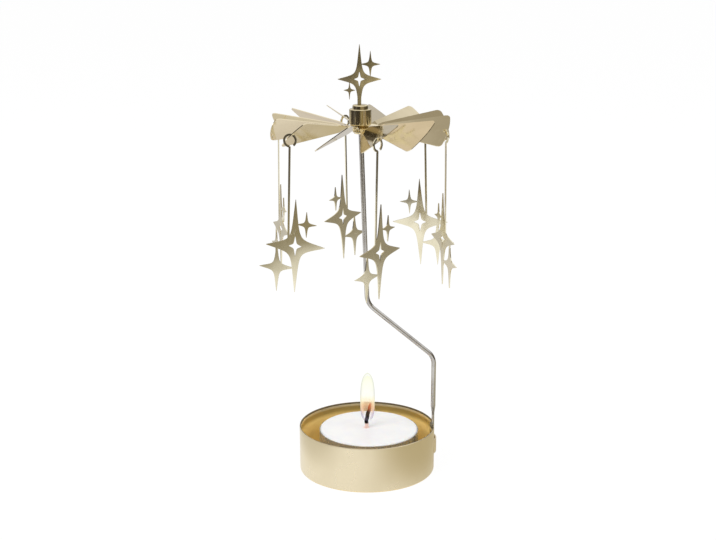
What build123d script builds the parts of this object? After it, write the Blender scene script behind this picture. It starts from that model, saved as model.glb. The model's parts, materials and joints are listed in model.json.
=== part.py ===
from build123d import *
import os
from math import asin, atan, atan2, cos, degrees, radians, sin, sqrt, tan

# Candle carousel, standing on its cup. Millimetres, +Z up, origin at the centre of the cup's
# underside. +X points to the foot of the post, and the figure on the hub faces -Y.

# Shared by several pieces
overrun = 1.0
seat_clearance = 0.05

# Candle cup, drawn from sheet, with a slight draft
cup_radius = 26.1
cup_draft = 0.1
cup_height = 17.4
cup_wall = 0.5
cup_foot_round = 0.8
cup_inner_round = 0.3
cup_rim_round = 0.2

# Two straps lanced from the cup's wall, one in and one out, which hold the foot of the post
pocket_floor_height = 6.6
strap_split_height = 12.3
strap_slit = 0.35
strap_half_span = 3.6
inward_crown = 0.2
outward_crown = 0.45

# Post, one bent wire with a flattened foot and a ground point
wire_radius = 0.9
foot_thickness = 0.9
foot_width = 3.2
foot_rise = 4.4
foot_blend = 3.2
leg_inset = 0.35
low_bend_height = 44.85
low_bend_radius = 6.0
high_bend_height = 65.9
high_bend_radius = 7.0
point_height = 137.4
point_length = 3.4
point_radius = 0.12

# Windmill, one sheet cut into blades that are twisted at their roots
rotor_shift = -2.65
rotor_turn = 12.2
blade_count = 12
blade_pitch = 35.5
blade_radius = 33.1
blade_corner = 1.6
sheet_gauge = 0.3
blade_slit = 0.3
twist_start = 5.2
twist_end = 8.8
hook_hole_radius = 0.8
hook_hole_inset = 1.35

# Hub, a turned thimble with a neck through the sheet
hub_length = 6.65
hub_shoulder = 0.85
hub_flare = 1.0
hub_taper = 1.1
hub_edge = 0.25
hub_roof = 0.65
neck_wall = 0.6
neck_drop = 2.15
bore_clearance = 0.75

# Collar pressed on the neck under the sheet
collar_wall = 0.55
collar_length = 1.7
collar_groove_depth = 0.25
collar_groove_half = 0.2
collar_edge = 0.15

# Bearing cup at the top of the bore
bearing_length = 1.7
dimple_depth = 1.0
dimple_radius = 0.9

# Plug on the hub's top, with the slot for the figure
plug_lip = 1.0
plug_height = 1.5
plug_round = 0.6
spigot_radius = 1.9
spigot_depth = 0.8
slot_depth = 1.6
slot_clearance = 0.03

# Stars, all etched from one sheet
star_gauge = 0.4
star_tip = 0.14
tip_join = 0.35
star_flank_shares = [(0.18, 0.05), (0.05, 0.18)]
window_flank_shares = [(0.3, 0.1), (0.1, 0.3)]

# Pendants
pendant_count = 6
hook_turn = 126.4
hook_contact_angle = 75.0
hook_clearance = 0.05
hook_inner_radius = 1.7
hook_strip = 0.8
hook_gap_angle = 39.7
hang_tilt = 1.5
stem_width = 0.75
stem_shift = -2.5
hook_shift = -2.4
pendant_drop = 37.9
pendant_star_width = 10.8
pendant_star_height = 17.0
window_width = 2.3
window_height = 3.5
spark_width = 3.7
spark_height = 4.7
spark_rise = 8.0
satellite_width = 6.4
satellite_height = 8.9
satellite_rise = -8.1

# Figure on the hub
figure_shift = -0.35
figure_rise = 10.7
figure_star_width = 7.9
figure_star_height = 12.55
figure_window_width = 1.85
figure_window_height = 2.5
figure_stem_width = 1.4
figure_spark_width = 3.6
figure_spark_height = 4.75
figure_spark_rise = 5.4
figure_satellite_width = 2.1
figure_satellite_height = 3.4
figure_satellite_reach = 1.5
figure_satellite_drop = 0.6

# Tealight
tealight_shift = 0.7
tealight_radius = 19.1
tealight_height = 15.1
tealight_foil = 0.25
tealight_foot_round = 1.2
wax_proud = 0.5
wax_round = 0.6
wax_clearance = 0.05
wick_shift = -0.9
wick_radius = 0.7
wick_upright = 3.4
wick_bend_radius = 6.0
wick_lean = 14.0
wick_length = 10.2
sustainer_radius = 6.0
sustainer_gauge = 0.3
sustainer_neck_radius = 1.2
sustainer_neck_length = 3.0

# Places that follow from the sizes above
cup_floor = cup_wall
cup_foot_radius = cup_radius - cup_draft
leg_reach = cup_radius - cup_wall / 2 - leg_inset
foot_height = cup_height + foot_rise
dimple_top = point_height + seat_clearance
bearing_foot = dimple_top - dimple_depth
bearing_top = bearing_foot + bearing_length
plug_foot = bearing_top + hub_roof
hub_top_height = plug_foot + spigot_depth
plug_top = hub_top_height + plug_height
slot_floor = plug_top - slot_depth
sheet_top = hub_top_height - hub_length
sheet_foot = sheet_top - sheet_gauge
rotor_height = sheet_top - sheet_gauge / 2
rotor_centre = (rotor_shift, 0, rotor_height)
blade_half_angle = 180 / blade_count
neck_foot_height = sheet_foot - neck_drop
bore_radius = wire_radius + bore_clearance
neck_radius = bore_radius + neck_wall
collar_radius = neck_radius + collar_wall
hub_foot_radius = neck_radius + hub_shoulder
hub_radius = hub_foot_radius + hub_flare
plug_radius = spigot_radius + plug_lip
figure_height = hub_top_height + figure_rise
tealight_place = (tealight_shift, 0, cup_floor)
tealight_top = cup_floor + tealight_height
wax_top = tealight_top + wax_proud
wick_place = tealight_shift + wick_shift

os.makedirs("parts", exist_ok=True)


def save(piece, label):
    """Names a finished piece and writes it out."""
    piece.part.label = label
    export_step(piece.part, f"parts/{label}.step")


def star(half_width, half_height, flank_shares=star_flank_shares):
    """A four-pointed star with hollow flanks and slightly blunt tips, centred on its sketch."""
    flank = [(across * half_width, up * half_height) for across, up in flank_shares]
    with BuildSketch() as shape:
        with BuildLine():
            Line((0, half_height), (star_tip / 2, half_height))
            Bezier((star_tip / 2, half_height), *flank, (half_width, star_tip / 2))
            Line((half_width, star_tip / 2), (half_width, 0))
            mirror(about=Plane.YZ)
            mirror(about=Plane.XZ)
        make_face()
    return shape.sketch


def strap_arch(crown, side):
    """Top view of a strap: a band bowed between the pocket's ends, thickened to one side in X."""
    anchor = sqrt((cup_radius - cup_wall / 2) ** 2 - strap_half_span**2)
    with BuildSketch() as arch:
        with BuildLine():
            inner = ThreePointArc((anchor, -strap_half_span), (crown, 0), (anchor, strap_half_span))
            outer = ThreePointArc(
                (anchor + side * cup_wall, -strap_half_span),
                (crown + side * cup_wall, 0),
                (anchor + side * cup_wall, strap_half_span),
            )
            Line(inner @ 0, outer @ 0)
            Line(inner @ 1, outer @ 1)
        make_face()
    return arch.sketch


# Candle cup: a revolved wall and floor, with the pocket cut out and bridged by the straps
inward_strap = strap_arch(leg_reach - foot_thickness / 2 - inward_crown, -1)
outward_strap = strap_arch(leg_reach + foot_thickness / 2 + outward_crown, 1)
with BuildPart() as candle_cup:
    with BuildSketch(Plane.XZ):
        with BuildLine():
            outside = FilletPolyline(
                (0, 0), (cup_foot_radius, 0), (cup_radius, cup_height), radius=cup_foot_round
            )
            inside = FilletPolyline(
                (0, cup_floor),
                (cup_foot_radius - cup_wall, cup_floor),
                (cup_radius - cup_wall, cup_height),
                radius=cup_inner_round,
            )
            Line(outside @ 0, inside @ 0)
            Line(outside @ 1, inside @ 1)
        make_face()
    revolve(axis=Axis.Z)
    fillet(candle_cup.edges().group_by(Axis.Z)[-1], cup_rim_round)
    with BuildSketch(Plane.XY.offset(pocket_floor_height)):
        with Locations((cup_radius, 0)):
            Rectangle(2 * (cup_radius - leg_reach + foot_thickness), 2 * strap_half_span)
    extrude(amount=cup_height, mode=Mode.SUBTRACT)
    with BuildSketch(Plane.XY.offset(pocket_floor_height + strap_slit)):
        add(outward_strap)
    extrude(amount=strap_split_height - pocket_floor_height - strap_slit)
    with BuildSketch(Plane.XY.offset(strap_split_height + strap_slit)):
        add(inward_strap)
    extrude(amount=cup_height - strap_split_height - strap_slit)
save(candle_cup, "candle_cup")

# Post: the flat foot, its blend into the round wire, the bent wire and the ground point
blend_top = foot_height + foot_blend
lean_run = -rotor_shift
lean_rise = point_height - high_bend_height
lean_length = sqrt(lean_run**2 + lean_rise**2)
wire_end_share = 1 - point_length / lean_length
wire_end = (-lean_run * wire_end_share, high_bend_height + lean_rise * wire_end_share)
lean_direction = (-lean_run, 0, lean_rise)
with BuildPart() as post:
    with BuildSketch(Plane.XY.offset(pocket_floor_height)):
        with Locations((leg_reach, 0)):
            SlotOverall(foot_width, foot_thickness, rotation=90)
    extrude(amount=foot_height - pocket_floor_height)
    with BuildSketch(Plane.XY.offset(foot_height)):
        with Locations((leg_reach, 0)):
            SlotOverall(foot_width, foot_thickness, rotation=90)
    with BuildSketch(Plane.XY.offset(blend_top)):
        with Locations((leg_reach, 0)):
            Circle(wire_radius)
    loft()
    with BuildLine(Plane.XZ):
        FilletPolyline(
            (leg_reach, blend_top),
            (leg_reach, low_bend_height),
            (0, high_bend_height),
            wire_end,
            radius=(low_bend_radius, high_bend_radius),
        )
    with BuildSketch(Plane.XY.offset(blend_top)):
        with Locations((leg_reach, 0)):
            Circle(wire_radius)
    sweep()
    wire_end_plane = Plane(origin=(wire_end[0], 0, wire_end[1]), z_dir=lean_direction)
    with BuildSketch(wire_end_plane):
        Circle(wire_radius)
    with BuildSketch(wire_end_plane.offset(point_length)):
        Circle(point_radius)
    loft()
save(post, "post")

# One blade along +X: a twisted root between the flat disc and the pitched, flat wing
blade_plane = Plane(
    origin=(0, 0, 0),
    x_dir=(1, 0, 0),
    z_dir=(0, -sin(radians(blade_pitch)), cos(radians(blade_pitch))),
)


def blade_half_width(radius):
    """Half the width of a blade at a distance from the rotor's axis, its slits taken off."""
    return radius * tan(radians(blade_half_angle)) - blade_slit / 2


tip_half_angle = asin(blade_half_width(blade_radius) * cos(radians(blade_half_angle)) / blade_radius)
tip_corner = (blade_radius * cos(tip_half_angle), blade_radius * sin(tip_half_angle))
with BuildPart() as blade:
    with BuildSketch(Plane.YZ.offset(twist_start)):
        Rectangle(2 * blade_half_width(twist_start), sheet_gauge)
    with BuildSketch(Plane.YZ.offset(twist_end)):
        Rectangle(2 * blade_half_width(twist_end), sheet_gauge, rotation=blade_pitch)
    loft(ruled=True)
    with BuildSketch(blade_plane) as wing:
        with BuildLine():
            low_edge = Line(
                (twist_end, -blade_half_width(twist_end)), (tip_corner[0], -tip_corner[1])
            )
            tip = ThreePointArc(low_edge @ 1, (blade_radius, 0), tip_corner)
            high_edge = Line(tip @ 1, (twist_end, blade_half_width(twist_end)))
            Line(high_edge @ 1, low_edge @ 0)
        make_face()
        fillet(wing.vertices().group_by(Axis.X)[-1], blade_corner)
    extrude(amount=sheet_gauge / 2, both=True)

# The same blade with the hole that a pendant hooks into
with BuildPart() as hook_blade:
    add(blade.part)
    with BuildSketch(blade_plane):
        with Locations((blade_radius - hook_hole_inset, 0)):
            Circle(hook_hole_radius)
    extrude(amount=sheet_gauge, both=True, mode=Mode.SUBTRACT)

# Windmill: a flat disc with one side for each root, plain blades and hooked blades in turn
blade_step = 360 / blade_count
with BuildPart(Plane(origin=rotor_centre)) as windmill:
    with BuildSketch(Plane(origin=rotor_centre)):
        RegularPolygon(
            twist_start, blade_count, major_radius=False, rotation=rotor_turn + blade_half_angle
        )
        Circle(neck_radius + seat_clearance, mode=Mode.SUBTRACT)
    extrude(amount=sheet_gauge / 2, both=True)
    with PolarLocations(0, pendant_count, start_angle=rotor_turn):
        add(blade.part)
    with PolarLocations(0, pendant_count, start_angle=rotor_turn + blade_step):
        add(hook_blade.part)
save(windmill, "windmill")

# Hub: a thimble with a neck through the sheet, bored from below and recessed on top
hub_axis = Axis((rotor_shift, 0, 0), (0, 0, 1))
hub_plane = Plane(origin=(rotor_shift, 0, 0), x_dir=(1, 0, 0), z_dir=(0, -1, 0))
with BuildPart() as hub_cap:
    with BuildSketch(hub_plane):
        with BuildLine():
            Polyline(
                (bore_radius, neck_foot_height),
                (neck_radius, neck_foot_height),
                (neck_radius, sheet_top),
                (hub_foot_radius, sheet_top),
                (hub_radius, sheet_top + hub_taper),
                (hub_radius, hub_top_height - hub_edge),
                (hub_radius - hub_edge, hub_top_height),
                (spigot_radius, hub_top_height),
                (spigot_radius, plug_foot),
                (0, plug_foot),
                (0, bearing_top),
                (bore_radius, bearing_top),
                close=True,
            )
        make_face()
    revolve(axis=hub_axis)
save(hub_cap, "hub_cap")

# Collar: a grooved ring on the neck, clamping the sheet
collar_foot = sheet_foot - collar_length
groove_middle = collar_foot + collar_length / 2
with BuildPart() as hub_collar:
    with BuildSketch(hub_plane):
        with BuildLine():
            Polyline(
                (neck_radius, collar_foot),
                (collar_radius - collar_edge, collar_foot),
                (collar_radius, collar_foot + collar_edge),
                (collar_radius, groove_middle - collar_groove_half),
                (collar_radius - collar_groove_depth, groove_middle),
                (collar_radius, groove_middle + collar_groove_half),
                (collar_radius, sheet_foot - collar_edge),
                (collar_radius - collar_edge, sheet_foot),
                (neck_radius, sheet_foot),
                close=True,
            )
        make_face()
    revolve(axis=hub_axis)
save(hub_collar, "hub_collar")

# Bearing cup: a short plug in the bore, with the dimple that the post's point stands in
with BuildPart() as bearing_cup:
    with BuildSketch(hub_plane):
        with BuildLine():
            Polyline(
                (dimple_radius, bearing_foot),
                (bore_radius, bearing_foot),
                (bore_radius, bearing_top),
                (0, bearing_top),
                (0, dimple_top),
                close=True,
            )
        make_face()
    revolve(axis=hub_axis)
save(bearing_cup, "bearing_cup")

# Plug: a rounded button on a spigot, slotted for the figure's stem
with BuildPart() as figure_plug:
    with Locations((rotor_shift, 0, plug_foot)):
        Cylinder(spigot_radius, spigot_depth, align=(Align.CENTER, Align.CENTER, Align.MIN))
    with Locations((rotor_shift, 0, hub_top_height)):
        Cylinder(plug_radius, plug_height, align=(Align.CENTER, Align.CENTER, Align.MIN))
    fillet(figure_plug.edges().group_by(Axis.Z)[-1], plug_round)
    with Locations((rotor_shift + figure_shift, 0, slot_floor)):
        Box(
            figure_stem_width + 2 * slot_clearance,
            star_gauge + 2 * slot_clearance,
            slot_depth + overrun,
            align=(Align.CENTER, Align.CENTER, Align.MIN),
            mode=Mode.SUBTRACT,
        )
save(figure_plug, "figure_plug")

# Figure: three joined stars on a stem, facing -Y
figure_star = star(figure_star_width, figure_star_height)
figure_window = star(figure_window_width, figure_window_height, window_flank_shares)
figure_spark = star(figure_spark_width, figure_spark_height)
figure_satellite = star(figure_satellite_width, figure_satellite_height)
figure_plane = Plane(
    origin=(rotor_shift + figure_shift, 0, figure_height), x_dir=(1, 0, 0), z_dir=(0, -1, 0)
)
figure_stem_length = figure_height - slot_floor - figure_window_height
figure_spark_shift = figure_spark_width + tip_join
figure_satellite_shift = -figure_satellite_width - figure_satellite_reach
figure_satellite_rise = -figure_satellite_height - figure_satellite_drop
with BuildPart() as top_star:
    with BuildSketch(figure_plane):
        add(figure_star)
        with Locations((figure_spark_shift, figure_spark_rise)):
            add(figure_spark)
        with Locations((figure_satellite_shift, figure_satellite_rise)):
            add(figure_satellite)
        with Locations((0, slot_floor - figure_height)):
            Rectangle(figure_stem_width, figure_stem_length, align=(Align.CENTER, Align.MIN))
            Rectangle(
                figure_star_width,
                figure_star_height,
                align=(Align.CENTER, Align.MAX),
                mode=Mode.SUBTRACT,
            )
        add(figure_window, mode=Mode.SUBTRACT)
    extrude(amount=star_gauge / 2, both=True)
save(top_star, "top_star")

# Pendants: the ring hook rests on the web of sheet between its hole and the blade's tip. In the
# upright plane of a pendant the pitched sheet is a slanted line, and the ring's top meets its end.
across_share = sin(radians(hook_turn))
sheet_slant = atan(tan(radians(blade_pitch)) * across_share)
plane_share = sqrt(1 - (sin(radians(blade_pitch)) * cos(radians(hook_turn))) ** 2)
half_skin = sheet_gauge / 2 / plane_share
contact_reach = hook_inner_radius - hook_clearance
hook_across = (
    -hook_hole_radius * cos(sheet_slant)
    - half_skin * sin(sheet_slant)
    - contact_reach * cos(radians(hook_contact_angle))
)
hook_up = (
    -hook_hole_radius * sin(sheet_slant)
    + half_skin * cos(sheet_slant)
    - contact_reach * sin(radians(hook_contact_angle))
)
hook_middle_radius = hook_inner_radius + hook_strip / 2
pendant_star = star(pendant_star_width, pendant_star_height)
pendant_window = star(window_width, window_height, window_flank_shares)
pendant_spark = star(spark_width, spark_height)
pendant_satellite = star(satellite_width, satellite_height)


def hook_centre(number):
    """Centre of a pendant's ring, worked out from the hole in its blade."""
    blade_angle = radians(rotor_turn + (2 * number + 1) * blade_step)
    facing = blade_angle + radians(hook_turn)
    hole_radius = blade_radius - hook_hole_inset
    return (
        rotor_shift + hole_radius * cos(blade_angle) + hook_across * cos(facing),
        hole_radius * sin(blade_angle) + hook_across * sin(facing),
        rotor_height + hook_up,
    )


def pendant_plane(number):
    """Upright plane of a pendant at its ring's centre, seen from outside, with its slight tilt."""
    facing = radians(rotor_turn + (2 * number + 1) * blade_step + hook_turn)
    tilt = radians(hang_tilt)
    return Plane(
        origin=hook_centre(number),
        x_dir=(cos(facing) * cos(tilt), sin(facing) * cos(tilt), -sin(tilt)),
        z_dir=(sin(facing), -cos(facing), 0),
    )


star_place = (-hook_shift, -pendant_drop)
spark_shift = spark_width + tip_join
satellite_shift = -satellite_width - tip_join
stem_place = stem_shift - hook_shift
hook_end = degrees(atan2(-hook_middle_radius, stem_place))
stem_length = pendant_drop - hook_middle_radius - window_height / 2
for number in range(pendant_count):
    with BuildPart() as pendant:
        with BuildSketch(pendant_plane(number)):
            with Locations(star_place):
                add(pendant_star)
            with Locations((star_place[0] + spark_shift, star_place[1] + spark_rise)):
                add(pendant_spark)
            with Locations((star_place[0] + satellite_shift, star_place[1] + satellite_rise)):
                add(pendant_satellite)
            with Locations((stem_place, -hook_middle_radius)):
                Rectangle(stem_width, stem_length, align=(Align.CENTER, Align.MAX))
            with BuildLine():
                CenterArc(
                    (0, 0), hook_middle_radius, hook_end + hook_gap_angle, 360 - hook_gap_angle
                )
            trace(line_width=hook_strip)
            with Locations(star_place):
                add(pendant_window, mode=Mode.SUBTRACT)
        extrude(amount=star_gauge / 2, both=True)
    save(pendant, f"pendant_{number + 1}")

# Tealight cup: thin foil, open on top
with BuildPart() as tealight_cup:
    with Locations(tealight_place):
        Cylinder(
            tealight_radius, tealight_height, align=(Align.CENTER, Align.CENTER, Align.MIN)
        )
    fillet(tealight_cup.edges().group_by(Axis.Z)[0], tealight_foot_round)
    offset(amount=-tealight_foil, openings=tealight_cup.faces().sort_by(Axis.Z)[-1])
save(tealight_cup, "tealight_cup")

# Sustainer: the wick's flat foot with its short neck
wax_foot = cup_floor + tealight_foil
with BuildPart() as wick_sustainer:
    with Locations((wick_place, 0, wax_foot)):
        Cylinder(
            sustainer_radius, sustainer_gauge, align=(Align.CENTER, Align.CENTER, Align.MIN)
        )
        Cylinder(
            sustainer_neck_radius,
            sustainer_neck_length,
            align=(Align.CENTER, Align.CENTER, Align.MIN),
        )
        Cylinder(
            wick_radius,
            sustainer_neck_length,
            align=(Align.CENTER, Align.CENTER, Align.MIN),
            mode=Mode.SUBTRACT,
        )
save(wick_sustainer, "wick_sustainer")

# Wax: fills the foil cup round the sustainer and the wick
with BuildPart() as tealight_wax:
    with Locations((tealight_shift, 0, wax_foot)):
        Cylinder(
            tealight_radius - tealight_foil - wax_clearance,
            wax_top - wax_foot,
            align=(Align.CENTER, Align.CENTER, Align.MIN),
        )
    fillet(tealight_wax.edges().group_by(Axis.Z)[0], tealight_foot_round)
    fillet(tealight_wax.edges().group_by(Axis.Z)[-1], wax_round)
    with Locations((wick_place, 0, wax_foot)):
        Cylinder(
            sustainer_radius,
            sustainer_gauge,
            align=(Align.CENTER, Align.CENTER, Align.MIN),
            mode=Mode.SUBTRACT,
        )
        Cylinder(
            sustainer_neck_radius,
            sustainer_neck_length,
            align=(Align.CENTER, Align.CENTER, Align.MIN),
            mode=Mode.SUBTRACT,
        )
        Cylinder(
            wick_radius,
            wax_top - wax_foot + overrun,
            align=(Align.CENTER, Align.CENTER, Align.MIN),
            mode=Mode.SUBTRACT,
        )
save(tealight_wax, "tealight_wax")

# Wick: upright through the wax, then leaning over above it
wick_bend_height = wax_top + wick_upright
wick_lean_run = wick_length - wick_upright
wick_tip = (
    wick_place + wick_lean_run * sin(radians(wick_lean)),
    wick_bend_height + wick_lean_run * cos(radians(wick_lean)),
)
with BuildPart() as tealight_wick:
    with BuildLine(Plane.XZ):
        FilletPolyline(
            (wick_place, wax_foot), (wick_place, wick_bend_height), wick_tip, radius=wick_bend_radius
        )
    with BuildSketch(Plane.XY.offset(wax_foot)):
        with Locations((wick_place, 0)):
            Circle(wick_radius)
    sweep()
save(tealight_wick, "tealight_wick")
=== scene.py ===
"""Candle carousel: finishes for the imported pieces, the flame, and a plain studio round them."""

import json
from math import cos, pi, radians, sin

import bmesh
import bpy
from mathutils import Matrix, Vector


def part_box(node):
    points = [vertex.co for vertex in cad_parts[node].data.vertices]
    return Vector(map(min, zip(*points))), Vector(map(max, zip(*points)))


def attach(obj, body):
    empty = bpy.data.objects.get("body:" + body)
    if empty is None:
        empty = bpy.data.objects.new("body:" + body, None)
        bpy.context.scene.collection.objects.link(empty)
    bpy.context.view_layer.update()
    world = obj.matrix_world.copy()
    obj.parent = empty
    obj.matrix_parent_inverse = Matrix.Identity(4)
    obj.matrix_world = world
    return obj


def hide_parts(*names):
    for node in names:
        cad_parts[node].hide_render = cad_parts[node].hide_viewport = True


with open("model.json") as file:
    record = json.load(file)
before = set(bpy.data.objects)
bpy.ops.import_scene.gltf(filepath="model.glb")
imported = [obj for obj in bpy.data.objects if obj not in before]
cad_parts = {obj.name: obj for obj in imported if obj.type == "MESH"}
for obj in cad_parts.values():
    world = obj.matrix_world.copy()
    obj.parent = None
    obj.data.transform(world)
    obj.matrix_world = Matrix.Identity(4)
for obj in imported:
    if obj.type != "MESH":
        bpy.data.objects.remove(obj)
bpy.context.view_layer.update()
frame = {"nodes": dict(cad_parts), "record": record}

MM = 0.001

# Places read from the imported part
_, cup_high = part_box("candle_cup")
foil_low, foil_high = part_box("tealight_cup")
_, wax_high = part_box("tealight_wax")
wick_low, wick_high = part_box("tealight_wick")
hub_low, hub_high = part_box("hub_cap")
collar_low, collar_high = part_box("hub_collar")
plug_low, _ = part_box("figure_plug")
_, bearing_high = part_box("bearing_cup")
rotor_axis = Vector(((hub_low.x + hub_high.x) / 2, 0, 0))
tealight_axis = (foil_low + foil_high) / 2
wick_radius = (wick_high.y - wick_low.y) / 2
wick_foot = Vector((wick_low.x + wick_radius, 0, 0))
pendants = sorted(name for name in frame["nodes"] if name.startswith("pendant_"))
body_of_node = {
    name: body for body, members in frame["record"]["behaviour"]["bodies"].items() for name in members
}


def srgb(red, green, blue):
    """A colour as the eye reads it on a screen, 0 to 255, turned into the renderer's linear values."""
    shares = [channel / 255 for channel in (red, green, blue)]
    linear = [c / 12.92 if c <= 0.04045 else ((c + 0.055) / 1.055) ** 2.4 for c in shares]
    return (*linear, 1.0)


# Node graphs


def fill(tree, socket, value):
    """Gives a socket a link or a plain value."""
    if isinstance(value, bpy.types.NodeSocket):
        tree.links.new(value, socket)
    else:
        socket.default_value = value


def add_node(tree, kind, inputs=None, **settings):
    """Adds a node, sets its properties, and fills its inputs with values or links."""
    made = tree.nodes.new(kind)
    for name, value in settings.items():
        setattr(made, name, value)
    for name, value in (inputs or {}).items():
        fill(tree, made.inputs[name], value)
    return made


def maths(tree, operation, first, second=0.0, third=0.0):
    """A Math node's result."""
    return add_node(tree, "ShaderNodeMath", {0: first, 1: second, 2: third}, operation=operation).outputs[0]


def vector_maths(tree, operation, first, second):
    """A Vector Math node's vector."""
    return add_node(tree, "ShaderNodeVectorMath", {0: first, 1: second}, operation=operation).outputs[0]


def noise(tree, vector, scale, detail=3.0, roughness=0.5):
    """Noise between 0 and 1."""
    inputs = {"Vector": vector, "Scale": scale, "Detail": detail, "Roughness": roughness}
    return add_node(tree, "ShaderNodeTexNoise", inputs).outputs["Fac"]


def remap(tree, value, low, high, to_low=0.0, to_high=1.0):
    """A value's range moved to another one, smoothly and clamped."""
    inputs = {"Value": value, "From Min": low, "From Max": high, "To Min": to_low, "To Max": to_high}
    return add_node(tree, "ShaderNodeMapRange", inputs, interpolation_type="SMOOTHSTEP").outputs["Result"]


def remap_evenly(tree, value, low, high):
    """A value's range moved to 0 to 1 in proportion, and clamped."""
    inputs = {"Value": value, "From Min": low, "From Max": high}
    return add_node(tree, "ShaderNodeMapRange", inputs).outputs["Result"]


def colour_ramp(tree, value, stops):
    """A colour that follows a value between 0 and 1 through the given stops."""
    ramp = add_node(tree, "ShaderNodeValToRGB", {"Fac": value})
    elements = ramp.color_ramp.elements
    elements[0].position, elements[0].color = stops[0]
    elements[1].position, elements[1].color = stops[-1]
    for share, colour in stops[1:-1]:
        elements.new(share).color = colour
    return ramp.outputs["Color"]


def blend_colours(tree, factor, first, second):
    """A colour between two others."""
    mix = add_node(tree, "ShaderNodeMix", data_type="RGBA")
    colour_sockets = [socket for socket in mix.inputs if socket.type == "RGBA"]
    for socket, value in zip([mix.inputs["Factor"], *colour_sockets], (factor, first, second)):
        fill(tree, socket, value)
    return next(socket for socket in mix.outputs if socket.type == "RGBA")


def new_group(name, inputs, outputs):
    """An empty node group with named sockets, each given as its kind and default value."""
    group = bpy.data.node_groups.new(name, "ShaderNodeTree")
    for label, (kind, value) in inputs.items():
        socket = group.interface.new_socket(label, in_out="INPUT", socket_type=kind)
        if value is not None:
            socket.default_value = value
    for label, kind in outputs.items():
        group.interface.new_socket(label, in_out="OUTPUT", socket_type=kind)
    return group, group.nodes.new("NodeGroupInput").outputs, group.nodes.new("NodeGroupOutput").inputs


def use_group(tree, group, inputs):
    """A node group placed in a material with its own values."""
    return add_node(tree, "ShaderNodeGroup", inputs, node_tree=group).outputs


# Effects that several finishes share

patch_start, patch_end = 0.35, 0.65
hair_turn = radians(37)
hair_stretch = (1, 0.06, 0.4)
hair_start, hair_end = 0.66, 0.72
hair_roughness = 0.08


def make_handled_metal():
    """Thin plated metal: its tone drifts, it is smudged here and there and finely scratched."""
    group, given, result = new_group(
        "handled_metal",
        {
            "Vector": ("NodeSocketVector", None),
            "Colour": ("NodeSocketColor", (0.8, 0.7, 0.5, 1)),
            "Tarnish": ("NodeSocketColor", (0.5, 0.4, 0.3, 1)),
            "Tarnish Amount": ("NodeSocketFloat", 0.2),
            "Patch Scale": ("NodeSocketFloat", 60.0),
            "Scratch Scale": ("NodeSocketFloat", 300.0),
            "Roughness": ("NodeSocketFloat", 0.2),
            "Roughness Spread": ("NodeSocketFloat", 0.1),
        },
        {"Colour": "NodeSocketColor", "Roughness": "NodeSocketFloat", "Scratches": "NodeSocketFloat"},
    )
    mottling = noise(group, given["Vector"], given["Patch Scale"], detail=4.0)
    patches = remap(group, mottling, patch_start, patch_end)
    rotate = add_node(
        group,
        "ShaderNodeVectorRotate",
        {"Vector": given["Vector"], "Angle": hair_turn},
        rotation_type="AXIS_ANGLE",
    )
    drawn_out = vector_maths(group, "MULTIPLY", rotate.outputs[0], hair_stretch)
    hairs = noise(group, drawn_out, given["Scratch Scale"], detail=2.0)
    scratches = remap(group, hairs, hair_start, hair_end)
    aged = maths(group, "MULTIPLY", patches, given["Tarnish Amount"])
    tone = blend_colours(group, aged, given["Colour"], given["Tarnish"])
    group.links.new(tone, result["Colour"])
    spread = maths(group, "MULTIPLY", patches, given["Roughness Spread"])
    rough = maths(group, "ADD", given["Roughness"], spread)
    marked = maths(group, "MULTIPLY_ADD", scratches, hair_roughness, rough)
    group.links.new(marked, result["Roughness"])
    group.links.new(scratches, result["Scratches"])
    return group


def make_tool_lines():
    """Fine parallel lines that brushing, turning or drawing leaves, along the stretched axis."""
    group, given, result = new_group(
        "tool_lines",
        {
            "Vector": ("NodeSocketVector", None),
            "Stretch": ("NodeSocketVector", (1, 1, 1)),
            "Scale": ("NodeSocketFloat", 1000.0),
        },
        {"Height": "NodeSocketFloat"},
    )
    along = vector_maths(group, "MULTIPLY", given["Vector"], given["Stretch"])
    lines = noise(group, along, given["Scale"], detail=4.0, roughness=0.7)
    group.links.new(lines, result["Height"])
    return group


def make_round_coordinates():
    """Coordinates round an upright axis: arc length at a radius, height, and distance from the axis."""
    group, given, result = new_group(
        "round_coordinates",
        {
            "Vector": ("NodeSocketVector", None),
            "Axis": ("NodeSocketVector", (0, 0, 0)),
            "Radius": ("NodeSocketFloat", 0.02),
        },
        {"Unrolled": "NodeSocketVector", "Distance": "NodeSocketFloat"},
    )
    centred = vector_maths(group, "SUBTRACT", given["Vector"], given["Axis"])
    parts = add_node(group, "ShaderNodeSeparateXYZ", {0: centred}).outputs
    angle = maths(group, "ARCTAN2", parts["Y"], parts["X"])
    across = maths(group, "MULTIPLY", parts["Y"], parts["Y"])
    distance = maths(group, "SQRT", maths(group, "MULTIPLY_ADD", parts["X"], parts["X"], across))
    arc = maths(group, "MULTIPLY", angle, given["Radius"])
    unrolled = add_node(group, "ShaderNodeCombineXYZ", {"X": arc, "Y": distance, "Z": parts["Z"]}).outputs[0]
    group.links.new(unrolled, result["Unrolled"])
    group.links.new(distance, result["Distance"])
    return group


handled_metal = make_handled_metal()
tool_lines = make_tool_lines()
round_coordinates = make_round_coordinates()


def new_material(name):
    """A material with its Principled shader, and the object coordinates that its patterns follow."""
    material = bpy.data.materials.new(name)
    material.use_nodes = True
    tree = material.node_tree
    shader = tree.nodes["Principled BSDF"]
    place = tree.nodes.new("ShaderNodeTexCoord").outputs["Object"]
    return material, tree, shader, place


def plug(tree, shader, **sockets):
    """Fills a shader's inputs, with underscores for the spaces in their names."""
    for label, value in sockets.items():
        fill(tree, shader.inputs[label.replace("_", " ")], value)


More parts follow.
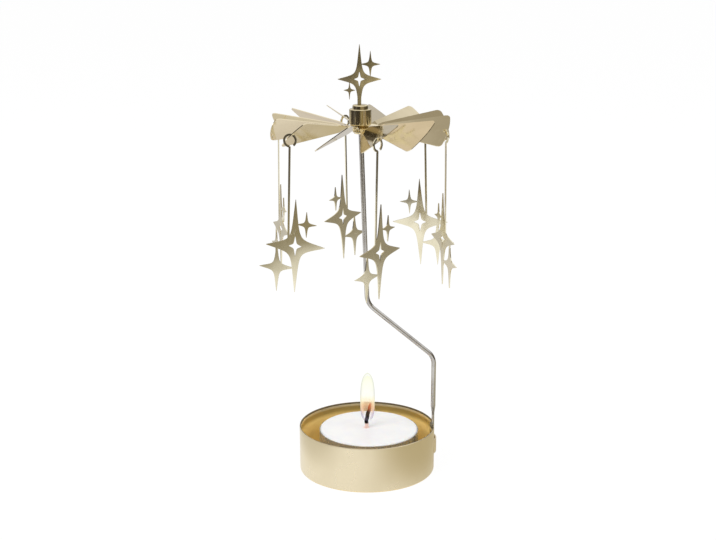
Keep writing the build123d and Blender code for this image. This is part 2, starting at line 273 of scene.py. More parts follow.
def plug_metal(tree, shader, metal, normal, metallic=1.0):
    """Fills a metal's inputs from the handled metal group."""
    plug(tree, shader, Base_Color=metal["Colour"], Roughness=metal["Roughness"])
    plug(tree, shader, Metallic=metallic, Normal=normal)


def lines_along(tree, vector, stretch, scale):
    """The height of fine tool lines."""
    return use_group(tree, tool_lines, {"Vector": vector, "Stretch": stretch, "Scale": scale})["Height"]


def height_above_table(tree, place):
    """The height of a point of the piece."""
    return add_node(tree, "ShaderNodeSeparateXYZ", {0: place}).outputs["Z"]


def bump(tree, height, depth, strength, under=None):
    """A normal from a height between 0 and 1 that stands for a real depth, over another one."""
    inputs = {"Height": height, "Distance": depth, "Strength": strength}
    if under is not None:
        inputs["Normal"] = under
    return add_node(tree, "ShaderNodeBump", inputs).outputs["Normal"]


# Finishes

champagne = srgb(232, 219, 188)
# The lining's lower wall: a deeper gold, brightened as painted light from the wax and foil below
deep_gold_and_painted_light = srgb(252, 224, 148)
pale_gold = srgb(236, 229, 203)
brass = srgb(228, 214, 176)
tarnish = srgb(176, 158, 116)

# The cup's lining: where the wall turns inward, and its tones from the rim's edge downwards: painted shade
# at the edge, a painted highlight just below, painted shade in olive higher up, and deep gold brightened by
# painted light lower down
lining_start, lining_full = 0.1 * MM, 0.3 * MM
lining_fade = 6 * MM
lining_painted_light_tones = (
    (0.0, srgb(122, 110, 84)),
    (0.08, srgb(122, 110, 84)),
    (0.12, srgb(255, 250, 226)),
    (0.22, srgb(255, 244, 206)),
    (0.3, srgb(216, 196, 134)),
    (0.5, srgb(212, 190, 120)),
    (0.75, deep_gold_and_painted_light),
    (1.0, deep_gold_and_painted_light),
)
lining_roughness = 0.12


def make_cup_finish():
    """Satin champagne plating, finely brushed round the wall, deeper gold inside, with painted shade, a
    painted highlight and painted light in the lining.
    """
    material, tree, shader, place = new_material("satin_champagne")
    radius = cup_high.y
    around = use_group(tree, round_coordinates, {"Vector": place, "Radius": radius})
    inside = remap(
        tree, around["Distance"], radius - lining_full, radius - lining_start, to_low=1.0, to_high=0.0
    )
    height = height_above_table(tree, place)
    # The lining's tones by depth below the rim: painted shade, a painted highlight, then painted light lower
    # down
    depth = remap_evenly(tree, height, cup_high.z, cup_high.z - lining_fade)
    metal = use_group(
        tree,
        handled_metal,
        {
            "Vector": place,
            "Colour": blend_colours(tree, inside, champagne, colour_ramp(tree, depth, lining_painted_light_tones)),
            "Tarnish": tarnish,
            "Tarnish Amount": 0.05,
            "Patch Scale": 70.0,
            "Scratch Scale": 900.0,
            "Roughness": 0.27,
            "Roughness Spread": 0.06,
        },
    )
    lines = lines_along(tree, around["Unrolled"], stretch=(0.02, 0, 1), scale=9000.0)
    normal = bump(tree, lines, depth=0.004 * MM, strength=0.6)
    dulled = remap(tree, depth, low=0.35, high=0.8, to_low=-0.15, to_high=-0.75)
    metallic = maths(tree, "ADD", maths(tree, "MULTIPLY", inside, dulled), 1.0)
    rough = maths(tree, "MULTIPLY_ADD", inside, lining_roughness, metal["Roughness"])
    plug(tree, shader, Base_Color=metal["Colour"], Metallic=metallic, Roughness=rough, Normal=normal)
    return material


def make_wire_finish():
    """Drawn steel wire, lightly polished along its length."""
    material, tree, shader, place = new_material("drawn_steel")
    metal = use_group(
        tree,
        handled_metal,
        {
            "Vector": place,
            "Colour": srgb(200, 198, 195),
            "Tarnish": srgb(140, 132, 124),
            "Tarnish Amount": 0.35,
            "Patch Scale": 120.0,
            "Scratch Scale": 1500.0,
            "Roughness": 0.16,
            "Roughness Spread": 0.12,
        },
    )
    lines = lines_along(tree, place, stretch=(1, 1, 0.03), scale=6000.0)
    plug_metal(tree, shader, metal, bump(tree, lines, depth=0.004 * MM, strength=0.5))
    return material


def make_sheet_finish(name, colour, waviness):
    """Bright plated sheet, rolled and then cut, with the slight waves that thin sheet has."""
    material, tree, shader, place = new_material(name)
    metal = use_group(
        tree,
        handled_metal,
        {
            "Vector": place,
            "Colour": colour,
            "Tarnish": tarnish,
            "Tarnish Amount": 0.12,
            "Patch Scale": 110.0,
            "Scratch Scale": 1200.0,
            "Roughness": 0.07,
            "Roughness Spread": 0.05,
        },
    )
    waves = bump(tree, noise(tree, place, scale=90.0, detail=1.0), depth=waviness, strength=1.0)
    lines = lines_along(tree, place, stretch=(1, 1, 0.1), scale=5000.0)
    plug_metal(tree, shader, metal, bump(tree, lines, depth=0.001 * MM, strength=0.4, under=waves))
    return material


def make_turned_finish():
    """Mirror-polished turned brass with faint turning lines."""
    material, tree, shader, place = new_material("turned_brass")
    around = use_group(tree, round_coordinates, {"Vector": place, "Axis": rotor_axis, "Radius": 4 * MM})
    metal = use_group(
        tree,
        handled_metal,
        {
            "Vector": place,
            "Colour": brass,
            "Tarnish": tarnish,
            "Tarnish Amount": 0.25,
            "Patch Scale": 200.0,
            "Scratch Scale": 2000.0,
            "Roughness": 0.06,
            "Roughness Spread": 0.05,
        },
    )
    lines = lines_along(tree, around["Unrolled"], stretch=(0.02, 0.1, 1), scale=5000.0)
    plug_metal(tree, shader, metal, bump(tree, lines, depth=0.002 * MM, strength=0.5))
    return material


def make_foil_finish():
    """Thin drawn aluminium with upright wrinkles, darkened as painted shade."""
    material, tree, shader, place = new_material("tealight_foil")
    around = use_group(
        tree, round_coordinates, {"Vector": place, "Axis": tealight_axis, "Radius": foil_high.y}
    )
    upright = vector_maths(tree, "MULTIPLY", around["Unrolled"], (1, 0.2, 0.08))
    wrinkles = noise(tree, upright, scale=900.0, detail=2.0)
    # Its colours are darker than bare aluminium: painted shade for the gap inside the cup where it sits
    metal = use_group(
        tree,
        handled_metal,
        {
            "Vector": place,
            "Colour": srgb(178, 175, 168),
            "Tarnish": srgb(122, 118, 112),
            "Tarnish Amount": 0.3,
            "Patch Scale": 150.0,
            "Scratch Scale": 1500.0,
            "Roughness": 0.22,
            "Roughness Spread": 0.12,
        },
    )
    plug_metal(tree, shader, metal, bump(tree, wrinkles, depth=0.06 * MM, strength=0.7), metallic=0.6)
    return material


def make_plain_steel(name, colour, roughness):
    """Small polished steel parts inside the hub and the wax."""
    material, tree, shader, place = new_material(name)
    metal = use_group(
        tree,
        handled_metal,
        {
            "Vector": place,
            "Colour": colour,
            "Tarnish": srgb(120, 112, 104),
            "Tarnish Amount": 0.3,
            "Patch Scale": 400.0,
            "Scratch Scale": 2500.0,
            "Roughness": roughness,
            "Roughness Spread": 0.1,
        },
    )
    plug_metal(tree, shader, metal, bump(tree, metal["Scratches"], depth=0.002 * MM, strength=0.5))
    return material


def make_wax_finish():
    """White paraffin: faintly mottled, with a painted warm glow close to the wick."""
    material, tree, shader, place = new_material("white_wax")
    around = use_group(tree, round_coordinates, {"Vector": place, "Axis": wick_foot, "Radius": 1 * MM})
    mottled = remap(tree, noise(tree, place, scale=160.0, detail=5.0), low=0.3, high=0.7)
    pale = blend_colours(tree, mottled, srgb(249, 249, 252), srgb(254, 254, 254))
    # Painted light: warm colour round the wick that stands for the flame's glow on the wax
    painted_warm_glow = remap(tree, around["Distance"], low=0.8 * MM, high=1.8 * MM, to_low=1.0, to_high=0.0)
    colour = blend_colours(tree, painted_warm_glow, pale, srgb(248, 226, 214))
    normal = bump(tree, noise(tree, place, scale=420.0), depth=0.05 * MM, strength=0.5)
    rough = remap(tree, mottled, low=0.0, high=1.0, to_low=0.34, to_high=0.46)
    plug(tree, shader, Base_Color=colour, Roughness=rough, Normal=normal, Specular_IOR_Level=0.4)
    plug(tree, shader, Subsurface_Weight=0.35, Subsurface_Scale=2 * MM, Subsurface_Radius=(1.0, 0.8, 0.6))
    return material


# Where the wick glows, measured down from its tip, and where wax soaks it, up from the wax
ember_start, ember_full = 4 * MM, 1.2 * MM
soak_full, soak_end = 1.4 * MM, 2.1 * MM


def make_wick_finish():
    """Braided cotton, charred black, with an ember at its tip."""
    material, tree, shader, place = new_material("charred_wick")
    height = height_above_table(tree, place)
    ember = remap(tree, height, wick_high.z - ember_start, wick_high.z - ember_full)
    soaked = remap(
        tree, height, wax_high.z + soak_full, wax_high.z + soak_end, to_low=1.0, to_high=0.0
    )
    braid = add_node(
        tree,
        "ShaderNodeTexWave",
        {"Vector": place, "Scale": 700.0, "Distortion": 3.0, "Detail": 2.0},
        bands_direction="DIAGONAL",
    ).outputs["Fac"]
    charred = blend_colours(tree, braid, srgb(4, 3, 2), srgb(20, 15, 12))
    burnt = blend_colours(tree, ember, charred, srgb(96, 36, 14))
    colour = blend_colours(tree, soaked, burnt, srgb(238, 208, 196))
    glow = blend_colours(tree, ember, srgb(0, 0, 0), srgb(214, 112, 62))
    rough = remap(tree, braid, low=0.0, high=1.0, to_low=0.8, to_high=0.95)
    normal = bump(tree, braid, depth=0.03 * MM, strength=0.8)
    plug(tree, shader, Base_Color=colour, Roughness=rough, Normal=normal, Specular_IOR_Level=0.15)
    plug(tree, shader, Emission_Color=glow, Emission_Strength=0.6)
    return material


turned_brass = make_turned_finish()
star_sheet = make_sheet_finish("etched_star_sheet", pale_gold, waviness=0.06 * MM)
finishes = {
    "candle_cup": make_cup_finish(),
    "post": make_wire_finish(),
    "windmill": make_sheet_finish("stamped_blade_sheet", champagne, waviness=0.05 * MM),
    "hub_cap": turned_brass,
    "hub_collar": turned_brass,
    "figure_plug": turned_brass,
    "bearing_cup": make_plain_steel("bearing_steel", srgb(190, 190, 192), roughness=0.15),
    "top_star": star_sheet,
    "tealight_cup": make_foil_finish(),
    "tealight_wax": make_wax_finish(),
    "tealight_wick": make_wick_finish(),
    "wick_sustainer": make_plain_steel("tinned_sheet", srgb(190, 188, 184), roughness=0.3),
    **{name: star_sheet for name in pendants},
}
for name, material in finishes.items():
    part = frame["nodes"][name]
    part.data.materials.clear()
    part.data.materials.append(material)


# Pieces shown in place of packed ones

round_segments = 96
sheet_edge = 0.035 * MM
sheet_corner = radians(50)
flat_tolerance = radians(0.3)
sheet_weld = 0.002 * MM
turned_edge = 0.05 * MM
turned_corner = radians(30)
seam_weld = 0.001 * MM
flats_weight = 100


def stand_for(node, name, mesh):
    """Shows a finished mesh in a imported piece's place, with that piece's finish and body."""
    mesh.shade_smooth()
    mesh.materials.clear()
    mesh.materials.append(finishes[node])
    piece = bpy.data.objects.new(name, mesh)
    bpy.context.scene.collection.objects.link(piece)
    shaded = piece.modifiers.new("flats_shaded_flat", "WEIGHTED_NORMAL")
    shaded.weight = flats_weight
    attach(piece, body_of_node[node])
    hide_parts(node)


def break_edges(built, sharper_than, width, segments):
    """Rounds every edge that turns more than an angle."""
    corners = [edge for edge in built.edges if edge.is_manifold and edge.calc_face_angle() > sharper_than]
    bmesh.ops.bevel(
        built,
        geom=corners,
        offset=width,
        offset_type="OFFSET",
        segments=segments,
        profile=0.5,
        affect="EDGES",
        clamp_overlap=True,
        material=-1,
    )


def dress(node, name):
    """A copy of a packed sheet with its sharp edges softly broken and its flats shaded flat."""
    mesh = frame["nodes"][node].data.copy()
    mesh.name = name
    if "custom_normal" in mesh.attributes:
        mesh.attributes.remove(mesh.attributes["custom_normal"])
    built = bmesh.new()
    built.from_mesh(mesh)
    bmesh.ops.remove_doubles(built, verts=built.verts, dist=sheet_weld)
    bmesh.ops.dissolve_limit(
        built,
        angle_limit=flat_tolerance,
        use_dissolve_boundaries=False,
        verts=built.verts,
        edges=built.edges,
    )
    break_edges(built, sheet_corner, sheet_edge, segments=2)
    built.to_mesh(mesh)
    built.free()
    stand_for(node, name, mesh)


def turn_on_lathe(node, profile):
    """A turned piece round the rotor's axis, from the radii and heights of its section."""
    built = bmesh.new()
    points = [built.verts.new((rotor_axis.x + radius, rotor_axis.y, height)) for radius, height in profile]
    edges = [built.edges.new(pair) for pair in zip(points, points[1:] + points[:1])]
    if profile[0][0] == 0:
        built.edges.remove(edges.pop())
    bmesh.ops.spin(
        built,
        geom=points + edges,
        cent=rotor_axis,
        axis=(0, 0, 1),
        angle=2 * pi,
        steps=round_segments,
        use_merge=True,
    )
    bmesh.ops.remove_doubles(built, verts=built.verts, dist=seam_weld)
    bmesh.ops.recalc_face_normals(built, faces=built.faces)
    break_edges(built, turned_corner, turned_edge, segments=3)
    mesh = bpy.data.meshes.new(node + "_turned")
    built.to_mesh(mesh)
    built.free()
    stand_for(node, node + "_turned", mesh)


# Sizes of the hub's turned pieces that no box gives
cap_length = 6.65 * MM
cap_flare = 1 * MM
cap_taper = 1.1 * MM
cap_edge = 0.25 * MM
cap_bore = 1.65 * MM
neck_radius = 2.25 * MM
collar_edge = 0.15 * MM
groove_half = 0.2 * MM
groove_depth = 0.25 * MM
plug_spigot = 1.9 * MM


def make_hub():
    """The cap and the grooved collar, turned in brass."""
    cap_radius = (hub_high.y - hub_low.y) / 2
    cap_top = hub_high.z
    sheet_top = cap_top - cap_length
    cap = (
        (0, plug_low.z),
        (plug_spigot, plug_low.z),
        (plug_spigot, cap_top),
        (cap_radius - cap_edge, cap_top),
        (cap_radius, cap_top - cap_edge),
        (cap_radius, sheet_top + cap_taper),
        (cap_radius - cap_flare, sheet_top),
        (neck_radius, sheet_top),
        (neck_radius, hub_low.z),
        (cap_bore, hub_low.z),
        (cap_bore, bearing_high.z),
        (0, bearing_high.z),
    )
    turn_on_lathe("hub_cap", cap)
    collar_radius = (collar_high.y - collar_low.y) / 2
    groove = (collar_low.z + collar_high.z) / 2
    collar = (
        (neck_radius, collar_low.z),
        (collar_radius - collar_edge, collar_low.z),
        (collar_radius, collar_low.z + collar_edge),
        (collar_radius, groove - groove_half),
        (collar_radius - groove_depth, groove),
        (collar_radius, groove + groove_half),
        (collar_radius, collar_high.z - collar_edge),
        (collar_radius - collar_edge, collar_high.z),
        (neck_radius, collar_high.z),
    )
    turn_on_lathe("hub_collar", collar)


# The wick

wick_lean = radians(14)
wick_bend_height = wax_high.z + 3.4 * MM
wick_bend_half = 1 * MM
strand_count = 3
strand_turns = 2.6
strand_radius_share = 0.56
strand_points = 40
strand_swell = 1.18
burnt_from = 0.85
burnt_loss = 0.5


def wick_line(share):
    """A point of the wick's middle and the direction across it, from its foot to its tip."""
    straight = wick_bend_height - wick_low.z
    leaning = (wick_high.z - wick_bend_height - wick_radius * sin(wick_lean)) / cos(wick_lean)
    along = share * (straight + leaning)
    bent = min(max((along - straight + wick_bend_half) / (2 * wick_bend_half), 0), 1)
    past = max(along - straight, 0)
    height = wick_low.z + min(along, straight) + past * cos(wick_lean)
    middle = wick_foot + Vector((past * sin(wick_lean), 0, height))
    return middle, Vector((cos(wick_lean * bent), 0, -sin(wick_lean * bent)))


def make_wick():
    """Three cotton strands twisted round each other along the wick, thinner at the burnt tip."""
    curve = bpy.data.curves.new("wick_strands", "CURVE")
    curve.dimensions = "3D"
    curve.bevel_depth = strand_radius_share * wick_radius
    curve.bevel_resolution = 3
    curve.use_fill_caps = True
    for strand in range(strand_count):
        spline = curve.splines.new("POLY")
        spline.points.add(strand_points - 1)
        for place, point in enumerate(spline.points):
            share = place / (strand_points - 1)
            middle, across = wick_line(share)
            angle = 2 * pi * (strand / strand_count + strand_turns * share)
            burnt = max(share - burnt_from, 0) / (1 - burnt_from)
            swell = strand_swell - burnt_loss * burnt
            reach = (1 - strand_radius_share) * wick_radius * swell
            spot = middle + reach * (cos(angle) * across + sin(angle) * Vector((0, 1, 0)))
            point.co = (*spot, 1)
            point.radius = swell
    wick = bpy.data.objects.new("wick_strands", curve)
    bpy.context.scene.collection.objects.link(wick)
    curve.materials.append(finishes["tealight_wick"])
    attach(wick, "tealight")
    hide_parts("tealight_wick")


# The flame

flame_foot = wax_high.z + 2.1 * MM
flame_tip = 38.5 * MM
flame_height = flame_tip - flame_foot
flame_waist = flame_foot + 0.45 * flame_height
flame_radius = 2.87 * MM
flame_centre = Vector((0.15 * MM, 0, 0))
flame_segments = 32
# Its outline, as shares of its radius and height
flame_outline = (
    (0.0, 0.0),
    (0.3, 0.012),
    (0.54, 0.05),
    (0.8, 0.12),
    (0.93, 0.2),
    (1.0, 0.4),
    (1.0, 0.58),
    (0.9, 0.76),
    (0.72, 0.87),
    (0.46, 0.95),
    (0.0, 1.0),
)
# Its shells, as how deep each lies and its share of the full size: the skin, then the body
flame_shells = ((0.0, 1.0), (0.3, 0.9), (0.8, 0.62))
# The skin's and the body's colours by height
skin_tones = (
    (0.0, srgb(168, 158, 190)),
    (0.2, srgb(186, 170, 190)),
    (0.3, srgb(240, 212, 180)),
    (0.42, srgb(234, 228, 196)),
    (0.6, srgb(212, 214, 204)),
    (1.0, srgb(226, 230, 200)),
)
body_tones = (
    (0.0, srgb(255, 206, 170)),
    (0.24, srgb(248, 206, 178)),
    (0.33, srgb(250, 198, 148)),
    (0.4, srgb(255, 222, 176)),
    (0.47, srgb(255, 246, 214)),
    (0.57, srgb(254, 253, 245)),
    (0.8, srgb(250, 251, 234)),
    (1.0, srgb(243, 246, 214)),
)


def make_flame_finish():
    """A thin grey skin over a white body, amber behind the wick's tip, violet at the foot's sides."""
    material, tree, shader, place = new_material("flame_glow")
    rise = remap_evenly(tree, height_above_table(tree, place), flame_foot, flame_tip)
    layer = add_node(tree, "ShaderNodeAttribute", attribute_name="depth").outputs["Fac"]
    grazing = add_node(tree, "ShaderNodeLayerWeight", {"Blend": 0.5}).outputs["Facing"]
    behind = tree.nodes.new("ShaderNodeNewGeometry").outputs["Backfacing"]
    # The skin shows at the outline, and wider on both sides of the foot
    outline = remap(tree, grazing, low=0.1, high=0.85, to_high=0.7)
    foot = remap(tree, rise, low=0.24, high=0.36, to_low=1.0, to_high=0.0)
    sides = maths(tree, "MULTIPLY", remap(tree, grazing, low=0.1, high=0.5, to_high=0.42), foot)
    begun = remap(tree, rise, low=0.03, high=0.14)
    skin_share = maths(tree, "MULTIPLY", maths(tree, "MAXIMUM", outline, sides), begun)
    # The body fills the upper part, and lower down only what lies beside and behind the wick
    outermost = remap(tree, layer, low=0.4, high=0.6, to_low=1.0, to_high=0.0)
    beside = maths(tree, "MAXIMUM", remap(tree, grazing, low=0.04, high=0.4), behind)
    lower = remap(tree, rise, low=0.13, high=0.3, to_high=0.55)
    low_share = maths(tree, "MULTIPLY", lower, maths(tree, "MULTIPLY", outermost, beside))
    deeper_starts_higher = maths(tree, "MULTIPLY_ADD", layer, -0.1, rise)
    high_share = remap(tree, deeper_starts_higher, low=0.33, high=0.46, to_high=0.42)
    body_share = maths(tree, "ADD", high_share, low_share)
    inner = remap(tree, layer, low=0.1, high=0.2)
    skin, body = colour_ramp(tree, rise, skin_tones), colour_ramp(tree, rise, body_tones)
    colour = blend_colours(tree, inner, skin, body)
    alpha = add_node(tree, "ShaderNodeMix", {0: inner, 2: skin_share, 3: body_share}).outputs[0]
    plug(tree, shader, Base_Color=srgb(0, 0, 0), Roughness=1.0, Specular_IOR_Level=0.0, Alpha=alpha)
    plug(tree, shader, Emission_Color=colour, Emission_Strength=1.06)
    return material


def make_flame():
    """Nested teardrops, so that the flame thins out towards its edge."""
    built = bmesh.new()
    depth = built.verts.layers.float.new("depth")
    for inward, width in flame_shells:
        known = set(built.verts)
        points = []
        for across, up in flame_outline:
            height = flame_waist + width * (flame_foot + flame_height * up - flame_waist)
            points.append(built.verts.new((flame_radius * width * across, 0, height)))
        edges = [built.edges.new(pair) for pair in zip(points, points[1:])]
        bmesh.ops.spin(
            built,
            geom=points + edges,
            cent=(0, 0, 0),
            axis=(0, 0, 1),
            angle=2 * pi,
            steps=flame_segments,
            use_merge=True,
        )
        added = [vertex for vertex in built.verts if vertex not in known]
        for vertex in added:
            vertex[depth] = inward
        bmesh.ops.remove_doubles(built, verts=added, dist=seam_weld)
    bmesh.ops.recalc_face_normals(built, faces=built.faces)
    bmesh.ops.translate(built, verts=built.verts, vec=flame_centre)
    mesh = bpy.data.meshes.new("flame")
    built.to_mesh(mesh)
    built.free()
    mesh.shade_smooth()
    mesh.materials.append(make_flame_finish())
    flame = bpy.data.objects.new("flame", mesh)
    bpy.context.scene.collection.objects.link(flame)
    smooth = flame.modifiers.new("smooth_skin", "SUBSURF")
    smooth.levels = 1
    smooth.render_levels = 1
    flame.visible_shadow = False
    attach(flame, "tealight")


# The studio

camera_place = Vector((-3.4982, -474.1455, 196.1953)) * MM
camera_pitch = 13.8903
camera_lens = 65.283
surround_level = 0.62
floor_paint = (0.86, 0.86, 0.86, 1)
floor_glow = 0.93
floor_shadow = (0.1, 0.1, 0.1, 1)
floor_radius = 30.0
floor_drop = 0.02 * MM
lamp_size = 0.7
lamp_target = Vector((0, 0, 0.08))
flame_light_power = 0.01
white = (1, 1, 1, 1)
scene = bpy.context.scene
scene.view_settings.view_transform = "Standard"


def make_camera():
    """The photograph's viewpoint."""
    data = bpy.data.cameras.new("camera")
    data.lens = camera_lens
    data.sensor_width = 36
    data.clip_start = 0.01
    camera = bpy.data.objects.new("camera", data)
    camera.location = camera_place
    camera.rotation_euler = (radians(90 - camera_pitch), 0, 0)
    scene.collection.objects.link(camera)
    scene.camera = camera


def show_or_light(tree, output, lighting, shown):
    """One shader for what is seen straight, in a mirror or through a clear piece, and one for light."""
    path = tree.nodes.new("ShaderNodeLightPath").outputs
    mirrored = maths(tree, "MAXIMUM", path["Is Camera Ray"], path["Is Glossy Ray"])
    seen = maths(tree, "MAXIMUM", mirrored, path["Is Transmission Ray"])
    mix = add_node(tree, "ShaderNodeMixShader", {0: seen, 1: lighting, 2: shown})
    tree.links.new(mix.outputs[0], tree.nodes[output].inputs["Surface"])


def make_world():
    """A white surround that lights the object at a plain level."""
    world = bpy.data.worlds.new("white_surround")
    world.use_nodes = True
    scene.world = world
    tree = world.node_tree
    light = tree.nodes["Background"]
    light.inputs["Color"].default_value = white
    light.inputs["Strength"].default_value = surround_level
    shown = add_node(tree, "ShaderNodeBackground", {"Color": white, "Strength": 1.0})
    show_or_light(tree, "World Output", light.outputs[0], shown.outputs[0])


def link_stage(name, built, material):
    """Makes a stage object from a bmesh."""
    mesh = bpy.data.meshes.new(name)
    built.to_mesh(mesh)
    built.free()
    mesh.materials.append(material)
    thing = bpy.data.objects.new(name, mesh)
    scene.collection.objects.link(thing)
    return thing


def make_floor():
    """A pale floor that reads as white but keeps the object's soft shadow."""
    material = bpy.data.materials.new("pale_floor")
    material.use_nodes = True
    tree = material.node_tree
    paint = tree.nodes["Principled BSDF"]
    plug(tree, paint, Base_Color=floor_paint, Roughness=0.9, Specular_IOR_Level=0.0)
    glow = add_node(tree, "ShaderNodeEmission", {"Color": white, "Strength": floor_glow})
    shadow = add_node(tree, "ShaderNodeBsdfDiffuse", {"Color": floor_shadow})
    pale = add_node(tree, "ShaderNodeAddShader", {0: glow.outputs[0], 1: shadow.outputs[0]})
    show_or_light(tree, "Material Output", paint.outputs[0], pale.outputs[0])
    built = bmesh.new()
    bmesh.ops.create_circle(built, cap_ends=True, segments=round_segments, radius=floor_radius)
    bmesh.ops.translate(built, verts=built.verts, vec=(0, 0, -floor_drop))
    link_stage("floor", built, material)


def make_lamp(name, place, power):
    """A soft square lamp aimed at the object."""
    data = bpy.data.lights.new(name, "AREA")
    data.shape = "SQUARE"
    data.size = lamp_size
    data.energy = power
    lamp = bpy.data.objects.new(name, data)
    lamp.location = place
    lamp.rotation_euler = (Vector(place) - lamp_target).to_track_quat("Z", "Y").to_euler()
    lamp.visible_glossy = False
    scene.collection.objects.link(lamp)


def make_flame_light():
    """The flame's own warm light, kept to the metal cup."""
    data = bpy.data.lights.new("flame_light", "POINT")
    data.color = srgb(255, 242, 218)[:3]
    data.shadow_soft_size = 4 * MM
    data.energy = flame_light_power
    lamp = bpy.data.objects.new("flame_light", data)
    lamp.location = flame_centre + Vector((0, 0, (flame_foot + flame_tip) / 2))
    lamp.visible_glossy = False
    scene.collection.objects.link(lamp)
    lit = bpy.data.collections.new("lit_by_flame")
    lit.objects.link(frame["nodes"]["candle_cup"])
    lamp.light_linking.receiver_collection = lit
    lamp.light_linking.blocker_collection = lit


def new_glow():
    """An empty material for what only mirrors see, with its node tree."""
    material = bpy.data.materials.new("mirrored_card")
    material.use_nodes = True
    material.node_tree.nodes.clear()
    return material, material.node_tree


def finish_glow(tree, colour, opaque):
    """Shows a plain colour as far as the card is opaque, and what lies behind it elsewhere."""
    clear = tree.nodes.new("ShaderNodeBsdfTransparent").outputs[0]
    shown = add_node(tree, "ShaderNodeEmission", {"Color": colour, "Strength": 1.0}).outputs[0]
    mix = add_node(tree, "ShaderNodeMixShader", {0: opaque, 1: clear, 2: shown})
    output = tree.nodes.new("ShaderNodeOutputMaterial")
    tree.links.new(mix.outputs[0], output.inputs["Surface"])


def only_mirrored(thing):
    """Keeps a stage object out of everything but mirror images."""
    thing.visible_camera = False
    thing.visible_diffuse = False
    thing.visible_transmission = False
    thing.visible_shadow = False


def make_card(name, centre, half_sizes, colour, soft_share):
    """A grey card with soft edges, as a studio lays round bright metal."""
    material, tree = new_glow()
    place = tree.nodes.new("ShaderNodeTexCoord").outputs["UV"]
    parts = add_node(tree, "ShaderNodeSeparateXYZ", {0: place}).outputs
    fades = []
    for axis in ("X", "Y"):
        offset = maths(tree, "ABSOLUTE", maths(tree, "MULTIPLY_ADD", parts[axis], 2.0, -1.0))
        fades.append(remap(tree, offset, 1.0 - soft_share, 1.0, to_low=1.0, to_high=0.0))
    finish_glow(tree, colour, maths(tree, "MULTIPLY", fades[0], fades[1]))
    built = bmesh.new()
    built.loops.layers.uv.new("UVMap")
    bmesh.ops.create_grid(built, x_segments=1, y_segments=1, size=1.0, calc_uvs=True)
    bmesh.ops.scale(built, verts=built.verts, vec=(*half_sizes, 1))
    bmesh.ops.translate(built, verts=built.verts, vec=centre)
    only_mirrored(link_stage(name, built, material))


# The far table's and wall's tones by direction, as shares of a turn from the left through the front
far_tones = (
    (0.0, (0.07, 0.06, 0.055, 1)),
    (0.09, (0.16, 0.155, 0.16, 1)),
    (0.12, (0.05, 0.045, 0.04, 1)),
    (0.248, (0.07, 0.06, 0.05, 1)),
    (0.2525, (0.36, 0.31, 0.19, 1)),
    (0.38, (0.42, 0.36, 0.29, 1)),
    (0.41, (0.14, 0.12, 0.08, 1)),
    (0.6, (0.1, 0.09, 0.06, 1)),
    (0.66, (0.6, 0.59, 0.58, 1)),
    (0.9, (0.6, 0.58, 0.55, 1)),
    (0.96, (0.07, 0.06, 0.055, 1)),
    (1.0, (0.07, 0.06, 0.055, 1)),
)
# The far table's brightness by distance, as shares of its radius
far_rings = (
    (0.0, (1, 1, 1, 1)),
    (0.43, (1, 1, 1, 1)),
    (0.46, (0.25, 0.25, 0.25, 1)),
    (0.495, (0.3, 0.3, 0.3, 1)),
    (0.53, (3.1, 3.1, 3.1, 1)),
    (0.595, (2.9, 2.9, 2.9, 1)),
    (0.655, (0.4, 0.4, 0.4, 1)),
    (1.0, (0.2, 0.2, 0.2, 1)),
)
far_table_start = 0.72
far_table_fade = 0.08
far_table_end = 2.6
far_table_lift = 0.05 * MM
far_wall_fade = 1.0
far_wall_top = 1.5


def far_place(tree):
    """The share of a turn round the object, the distance from its middle and the height."""
    place = tree.nodes.new("ShaderNodeTexCoord").outputs["Object"]
    around = use_group(tree, round_coordinates, {"Vector": place, "Radius": 1.0})
    parts = add_node(tree, "ShaderNodeSeparateXYZ", {0: around["Unrolled"]}).outputs
    return maths(tree, "MULTIPLY_ADD", parts["X"], 0.5 / pi, 0.5), around["Distance"], parts["Z"]


def make_far_table():
    """The darker table further out, whose tone changes round the object."""
    material, tree = new_glow()
    turn, distance, _ = far_place(tree)
    opaque = remap(tree, distance, far_table_start, far_table_start + far_table_fade)
    outwards = maths(tree, "MULTIPLY", distance, 1 / far_table_end)
    tones, rings = colour_ramp(tree, turn, far_tones), colour_ramp(tree, outwards, far_rings)
    finish_glow(tree, vector_maths(tree, "MULTIPLY", tones, rings), opaque)
    built = bmesh.new()
    bmesh.ops.create_circle(built, cap_ends=True, segments=round_segments, radius=far_table_end)
    bmesh.ops.translate(built, verts=built.verts, vec=(0, 0, far_table_lift))
    only_mirrored(link_stage("far_table", built, material))


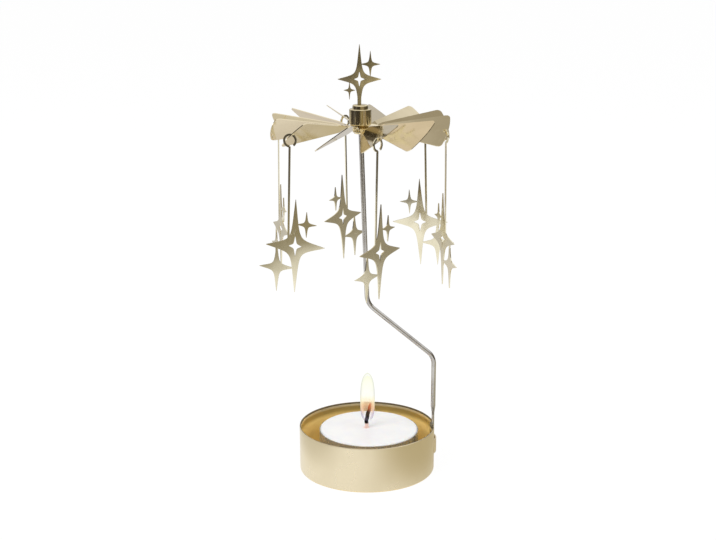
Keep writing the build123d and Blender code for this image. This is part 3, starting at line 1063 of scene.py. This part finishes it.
def make_far_wall():
    """The darker room round the table, low over it, as the hub mirrors it by way of the blades."""
    material, tree = new_glow()
    turn, _, height = far_place(tree)
    opaque = remap(tree, height, far_wall_fade, far_wall_top, to_low=1.0, to_high=0.0)
    finish_glow(tree, colour_ramp(tree, turn, far_tones), opaque)
    built = bmesh.new()
    bmesh.ops.create_circle(built, cap_ends=False, segments=round_segments, radius=far_table_end)
    raised = bmesh.ops.extrude_edge_only(built, edges=built.edges[:])
    top = [thing for thing in raised["geom"] if isinstance(thing, bmesh.types.BMVert)]
    bmesh.ops.translate(built, verts=top, vec=(0, 0, far_wall_top))
    only_mirrored(link_stage("far_wall", built, material))


# The cards that give the bright metal its darker tones: centre, half sizes, colour and soft share
dark_card = (0.13, 0.115, 0.095, 1)
warm_card = (0.3, 0.26, 0.17, 1)
grey_card = (0.34, 0.31, 0.25, 1)
middle_card = (0.42, 0.39, 0.33, 1)
gold_card = (0.8, 0.73, 0.64, 1)
shaded_table = (0.74, 0.71, 0.7, 1)
pale_card = (0.62, 0.6, 0.58, 1)
right_of_cup = (0.6, 0.545, 0.4, 1)
left_of_cup = (0.74, 0.72, 0.66, 1)
cards = {
    "front_table_card": ((-0.15, -0.66, 0.1 * MM), (0.42, 0.21), dark_card, 0.1),
    "left_table_card": ((-0.475, -0.36, 0.2 * MM), (0.3, 0.17), warm_card, 0.1),
    "right_table_card": ((0.62, 0.05, 0.1 * MM), (0.34, 0.42), grey_card, 0.3),
    "back_table_card": ((-0.05, 0.5, 0.1 * MM), (0.6, 0.3), pale_card, 0.3),
    "near_table_card": ((0, 0.16, 0.15 * MM), (0.3, 0.13), shaded_table, 0.4),
    "cup_right_card": ((0.155, 0.03, 0.3 * MM), (0.165, 0.16), right_of_cup, 0.35),
    "cup_left_card": ((-0.11, 0.03, 0.3 * MM), (0.075, 0.1), left_of_cup, 0.3),
    "far_right_card": ((0.84, 0.05, 0.15 * MM), (0.27, 0.4), dark_card, 0.2),
    "overhead_card": ((0.15, 0.3, 0.9), (0.45, 0.4), middle_card, 0.5),
    "gold_card": ((-0.62, 0.85, 1.1), (0.5, 0.45), gold_card, 0.4),
}


for name in ["top_star", *pendants]:
    dress(name, name + "_sheet")
make_hub()
make_wick()
make_flame()
make_camera()
make_world()
make_floor()
make_lamp("key_lamp", (-0.7, -0.7, 1.0), power=8.0)
make_lamp("fill_lamp", (0.9, -0.5, 0.7), power=3.5)
make_flame_light()
for name, values in cards.items():
    make_card(name, *values)
make_far_table()
make_far_wall()
